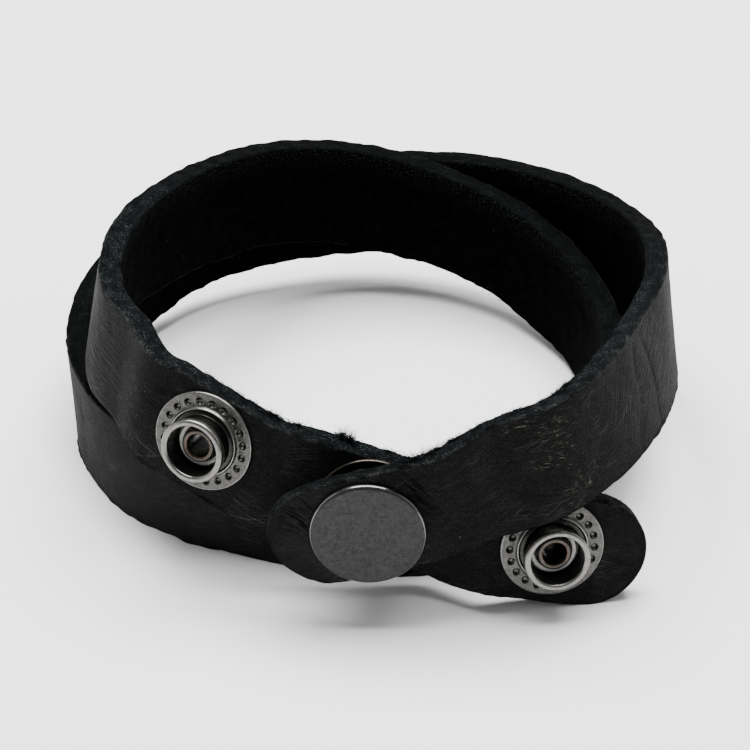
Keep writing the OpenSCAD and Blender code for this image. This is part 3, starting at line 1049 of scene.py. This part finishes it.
def stud_kinds(r, a, z):
    """Painted shade round the upper side of each dimple and on the neck. Lighter, worn bright, on the
    rim and the flange's outer corner, and a painted highlight along the collar. Dull on the boss down
    the well."""
    x, y = dimple_offset(r, a)
    # A crescent on the upper side of each dimple, painted with shade
    hollow = (np.hypot(x, y) < DIMPLE_R * 0.92) & (np.hypot(x - 0.1, y + 0.12) > DIMPLE_R * 0.7)
    dimple = hollow & (r > NECK_R + COLLAR_W) & (z > 0.1)
    # The neck, painted with shade
    neck = (r > NECK_R - 0.1) & (r < COLLAR_IN) & (z > FLANGE_T) & (z < STUD_H - 0.85)
    rim = (z > STUD_H - 0.85) & (r > RIM_R - RIM_W + 0.03)
    boss = (r < BOSS_R + 0.05) & (z > BOSS_TOP - 0.7) & (z < BOSS_TOP + 0.5)
    # The collar's ridge, lighter with a painted highlight
    collar = (r > COLLAR_IN) & (r < COLLAR_IN + 0.26) & (z > FLANGE_T + 0.1) & (z < STUD_H / 2)
    corner = (r > FLANGE_R - 0.1) & (z > FLANGE_T - 0.1)
    found = np.where(rim | collar | corner, WORN_AND_LIT, PLAIN)
    return np.where(dimple | neck, DARK, np.where(boss, DULL, found))


def make_stud(name, flat):
    """Dimpled flange, collar, neck and rolled rim, with a boss down the well."""
    inside = BARREL_R + FIT_GAP
    opening = RIM_R - RIM_W
    outline = fillet([
        (inside, SEAT_GAP, 0.05),
        (FLANGE_R, SEAT_GAP, 0.15),
        (FLANGE_R, FLANGE_T + 0.02, 0.2),
        (NECK_R + COLLAR_W, FLANGE_T, 0.25),
        (COLLAR_IN + 0.16, FLANGE_T + COLLAR_H - 0.02, 0.12),
        (COLLAR_IN, FLANGE_T + COLLAR_H, 0.08),
        (COLLAR_IN - 0.1, FLANGE_T + COLLAR_H - 0.25, 0.1),
        (NECK_R + 0.1, FLANGE_T + COLLAR_H - 0.15, 0.2),
        (NECK_R, FLANGE_T + COLLAR_H + 0.8, 0.3),
        (NECK_R, STUD_H - 1.15, 0.2),
        (RIM_R - 0.1, STUD_H - 0.95, 0.2),
        (RIM_R, STUD_H - 0.75, 0.2),
        (RIM_R, STUD_H, 0.4),
        (opening, STUD_H, 0.4),
        (opening, STUD_H - 0.9, 0.2),
        (opening, FLANGE_T + 0.05, 0.2),
        (BOSS_R + 0.02, FLANGE_T + 0.05, 0.1),
        (BOSS_R, BOSS_TOP + 0.05, 0.12),
        (inside + 0.25, BOSS_TOP - 0.05, 0.08),
        (inside, BOSS_TOP - 0.25, 0.08),
    ])
    return turned(name, flat, dense(outline, 0.09), SEGMENTS, dimple_shape, stud_kinds)


def eyelet_kinds(r, a, z):
    """Warm where the plating is worn off the roll's inner lip, and painted shade down the bore."""
    lip = (r < BORE_R + 0.17) & (z > BARREL_TOP - 0.3)
    return np.where(lip, WORN_AND_LIT, np.where((r < BORE_R + 0.05) & (z > -1.5), DARK, PLAIN))


# How far the rolled lips, squashed as they were set, stay inside the plain roll
ROLL_IN = 0.17


def make_eyelet(name, flat):
    """Flange behind the leather, barrel through it and roll inside the stud."""
    back = -flat.thick - SEAT_GAP
    foot = BARREL_TOP - ROLL_H
    outline = fillet([
        (BORE_R, back - SHEET_T, 0.3),
        (BACK_FLANGE_R, back - SHEET_T, 0.15),
        (BACK_FLANGE_R, back, 0.1),
        (BARREL_R, back, 0.05),
        (BARREL_R, foot, 0.1),
        (ROLL_R - ROLL_IN, foot + 0.05, 0.25),
        (ROLL_R - ROLL_IN, BARREL_TOP, 0.3),
        (BORE_R, BARREL_TOP, 0.35),
    ])
    return turned(name, flat, dense(outline, 0.16), PLAIN_SEGMENTS, kinds=eyelet_kinds)


# How far in and down the cap's rounded edge reaches
EDGE_IN = 0.45
EDGE_DOWN = 0.5


def cap_kinds(r, a, z):
    """Lighter and glossier along the crest of the edge: polished by wear, with a painted highlight."""
    return np.where((r > CAP_R - 0.2) & (r < CAP_R - 0.03) & (z > 0.3), CREST, PLAIN)


def make_cap(flat):
    """Flat cap with a rounded edge, and its post through the leather."""
    edge = np.linspace(0, pi / 2, 12)
    back = -THINNED_T - SEAT_GAP
    roll = back - SHEET_T - SEAT_GAP
    top = SEAT_GAP + CAP_H
    outline = fillet([
        (0.5, back, 0),
        (BORE_R - 0.2, back - 0.85, 0),
        (ROLL_R - 0.2, back - 0.85, 0),
        (ROLL_R, roll - 0.2, 0),
        (ROLL_R, roll, 0),
        (BARREL_R, roll, 0),
        (BARREL_R, SEAT_GAP, 0),
        (CAP_R - 0.12, SEAT_GAP, 0.1),
        (CAP_R, SEAT_GAP + 0.15, 0.05),
        *((CAP_R - EDGE_IN * (1 - cos(a)), top - EDGE_DOWN * (1 - sin(a)), 0) for a in edge),
        (0.5, top, 0),
    ])
    outline = dense(outline, 0.07, closed=False)
    return turned("cap_face", flat, outline, SEGMENTS, kinds=cap_kinds, solid=True)


def make_socket(flat):
    """Ring behind the thinned leather, round the middle stud's rim and neck."""
    back = -THINNED_T - SEAT_GAP
    mouth = -THINNED_T - SNAP_GAP + FLANGE_T + COLLAR_H + FIT_GAP * 2
    cavity_r = RIM_R + FIT_GAP
    mouth_r = NECK_R + FIT_GAP * 2
    inside = BARREL_R + FIT_GAP
    outline = fillet([
        (inside, back, 0.05),
        (SOCKET_R, back, 0.3),
        (SOCKET_R - 0.2, mouth, 0.4),
        (mouth_r, mouth, 0.4),
        (mouth_r, mouth + 0.9, 0.2),
        (cavity_r, mouth + 1.3, 0.1),
        (cavity_r, back - SHEET_T, 0.1),
        (inside, back - SHEET_T, 0.05),
    ])
    return turned("socket_ring", flat, dense(outline, 0.3), PLAIN_SEGMENTS)


snaps = {"cap": make_cap(flats["cap"]), "socket": make_socket(flats["cap"])}
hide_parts("snap_cap")
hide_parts("snap_socket")
for side in STUD_ROWS:
    stud = make_stud(f"dimpled_stud_{side}", flats[side])
    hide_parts(f"stud_{side}")
    snaps[f"stud_{side}"] = stud
    eyelet = make_eyelet(f"rolled_eyelet_{side}", flats[side])
    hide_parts(f"eyelet_{side}")
    snaps[f"eyelet_{side}"] = eyelet
for piece in snaps.values():
    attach(piece, "root")


cap_metal = metal("gunmetal_cap", (0.041, 0.041, 0.0415), (0.014, 0.014, 0.0142), 0.42, 0.012)
# Lighter, glossier crest of the cap's edge: worn polish with a painted highlight
cap_crest = metal("gunmetal_crest", (0.12, 0.12, 0.118), (0.08, 0.08, 0.079), 0.16, 0.004)
nickel = metal("satin_nickel", (0.12, 0.118, 0.114), (0.03, 0.0295, 0.028), 0.36)
# Lighter nickel for the rims and flange corners, rubbed bright, and for the collars, a painted
# highlight
rim_nickel = metal("rubbed_and_lit_nickel", (0.22, 0.216, 0.205), (0.11, 0.108, 0.102), 0.3)
dull_nickel = metal("dull_nickel", (0.42, 0.415, 0.4), (0.28, 0.276, 0.266), 0.55)
# Darker copies of the face and rim nickel for the middle stud under the cap: painted shade
shaded_nickel = metal("shaded_nickel", (0.03, 0.027, 0.022), (0.012, 0.011, 0.009), 0.4)
shaded_rim = metal("shaded_rim", (0.1, 0.092, 0.075), (0.05, 0.045, 0.036), 0.32)
# Painted shade, with pale dust specks, for the dimples' upper sides, the necks and the bores
shaded_dusty = metal("shaded_dusty_nickel", (0.05, 0.049, 0.046), (0.016, 0.016, 0.015), 0.3, dust=0.6)
eyelet_nickel = metal("browned_nickel", (0.09, 0.08, 0.072), (0.03, 0.027, 0.024), 0.34)
brass = metal("worn_brass", (0.13, 0.085, 0.062), (0.05, 0.034, 0.026), 0.32)
for material in (cap_metal, cap_crest):
    snaps["cap"].data.materials.append(material)
snaps["socket"].data.materials.append(cap_metal)
for side in STUD_ROWS:
    # The middle stud under the cap takes the copies with painted shade
    face, rim = (shaded_nickel, shaded_rim) if side == "middle" else (nickel, rim_nickel)
    for material in (face, shaded_dusty, rim, dull_nickel):
        snaps[f"stud_{side}"].data.materials.append(material)
    for material in (eyelet_nickel, shaded_dusty, brass):
        snaps[f"eyelet_{side}"].data.materials.append(material)


# Floor, light and camera

FLOOR_HALF_M = 3.0
CAMERA_ELEVATION = radians(33)
CAMERA_AWAY = 520
SENSOR_W = 36
LENS = 224.6
WORLD_LIGHT = 0.4

# Name, place, aim and size in millimetres, and power in watts of each light
LIGHTS = (
    ("top", (0, 150, 700), (0, 0, 0), (700, 600), 22),
    ("right", (520, 60, 190), (0, 0, 10), (260, 420), 0.6),
    ("left", (-520, 0, 190), (0, 0, 10), (260, 420), 0.65),
)


def make_floor():
    """A wide pale floor at height 0."""
    points = np.array([(-1, -1, 0), (1, -1, 0), (1, 1, 0), (-1, 1, 0)]) * FLOOR_HALF_M
    floor = mesh_object("floor", points, [(0, 1, 2, 3)], smooth=False)
    n = Nodes("pale_floor")
    n.set(Base_Color=n.blend(n.noise(n.part_space(), 0.2, 2), (0.86, 0.86, 0.86), (0.88, 0.88, 0.88)),
          Roughness=0.9)
    floor.data.materials.append(n.material)


def make_light(name, place_mm, aim_mm, size_mm, power):
    """A soft rectangular light."""
    lamp = bpy.data.lights.new(name, "AREA")
    lamp.shape = "RECTANGLE"
    lamp.size, lamp.size_y = (v * MM for v in size_mm)
    lamp.energy = power
    light = bpy.data.objects.new(name, lamp)
    light.location = Vector(place_mm) * MM
    light.rotation_euler = (Vector(aim_mm) - Vector(place_mm)).to_track_quat("-Z", "Y").to_euler()
    bpy.context.scene.collection.objects.link(light)


def make_camera():
    """At the photograph's angle, in front of the snap."""
    aim = Vector((SHIFT_X, SHIFT_Y - 9, 12)) * MM
    away = Vector((0, -cos(CAMERA_ELEVATION), sin(CAMERA_ELEVATION))) * CAMERA_AWAY * MM
    data = bpy.data.cameras.new("camera")
    data.sensor_width = SENSOR_W
    data.lens = LENS
    camera = bpy.data.objects.new("camera", data)
    camera.location = aim + away
    camera.rotation_euler = (-away).to_track_quat("-Z", "Y").to_euler()
    bpy.context.scene.collection.objects.link(camera)
    bpy.context.scene.camera = camera


def make_world():
    """Even white light from all round."""
    world = bpy.data.worlds.new("studio")
    world.use_nodes = True
    background = world.node_tree.nodes["Background"]
    background.inputs["Color"].default_value = (1, 1, 1, 1)
    background.inputs["Strength"].default_value = WORLD_LIGHT
    bpy.context.scene.world = world


make_floor()
make_world()
for light in LIGHTS:
    make_light(*light)
make_camera()
